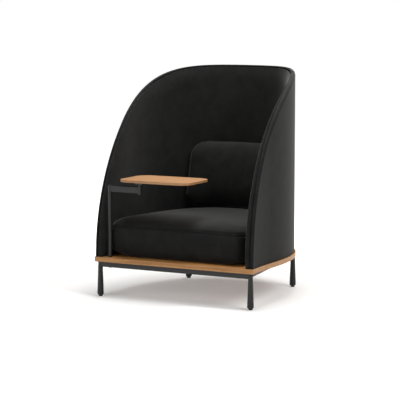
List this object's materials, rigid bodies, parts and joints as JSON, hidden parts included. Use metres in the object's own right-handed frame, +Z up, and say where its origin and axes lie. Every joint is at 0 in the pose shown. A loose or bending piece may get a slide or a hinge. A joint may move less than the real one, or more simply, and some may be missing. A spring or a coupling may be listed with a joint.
{
  "type": "high back lounge chair with writing tablet",
  "caption": "High back lounge chair with a curved acoustic shell, loose cushions, a wooden platform on tapered legs and a swivelling writing tablet.",
  "frame": {"origin": "on the floor under the middle of the platform", "axes": "+Z up, the chair faces -Y, +X to the right when looking along +Y"},
  "size_m": [1.012, 1.004, 1.291],
  "materials": {
    "oak": "satin",
    "plywood": "raw",
    "foam": "matte",
    "velour": "matte pile",
    "frame_steel": "satin powder coat",
    "zinc_steel": "zinc plated",
    "black_plastic": "matte",
    "nylon": "matte"
  },
  "bodies": {
    "chair": {"platform_board": "oak", "front_rail": "frame_steel", "rear_rail": "frame_steel", "side_rail_left": "frame_steel", "side_rail_right": "frame_steel", "cross_rail": "frame_steel", "leg_front_left": "frame_steel", "leg_front_right": "frame_steel", "leg_rear_left": "frame_steel", "leg_rear_right": "frame_steel", "corner_plates": "frame_steel", "frame_screws": "zinc_steel", "leg_glides": "black_plastic", "shell_core": "plywood", "shell_acoustic_pad": "foam", "shell_wadding": "foam", "shell_inner_cover": "velour", "shell_outer_cover": "velour", "rim_band": "velour", "rim_piping_outer": "velour", "rim_piping_inner": "velour", "shell_screws": "zinc_steel", "seat_cover": "velour", "seat_foam": "foam", "seat_zip": "black_plastic", "seat_grip_strips": "black_plastic", "lumbar_cover": "velour", "lumbar_foam": "foam", "lumbar_zip": "black_plastic", "tablet_post": "frame_steel", "post_insert": "zinc_steel", "post_cap": "black_plastic", "post_bolt": "zinc_steel", "post_washer": "zinc_steel", "post_spacer": "zinc_steel", "tablet_arm": "frame_steel", "pivot_housing": "frame_steel", "pivot_bush_lower": "nylon", "pivot_bush_upper": "nylon", "thrust_washer": "black_plastic"},
    "tablet": {"tablet_stem": "frame_steel", "retaining_washer": "zinc_steel", "retaining_screw": "zinc_steel", "tablet_plate": "frame_steel", "tablet_screws": "zinc_steel", "tablet_top": "oak"}
  },
  "joints": [
    {"name": "tablet_swivel", "type": "hinge", "parent": "chair", "child": "tablet", "pos_m": [-0.224, -0.467, 0.65], "axis": [0, 0, 1], "range_deg": [-180, 25]}
  ]
}
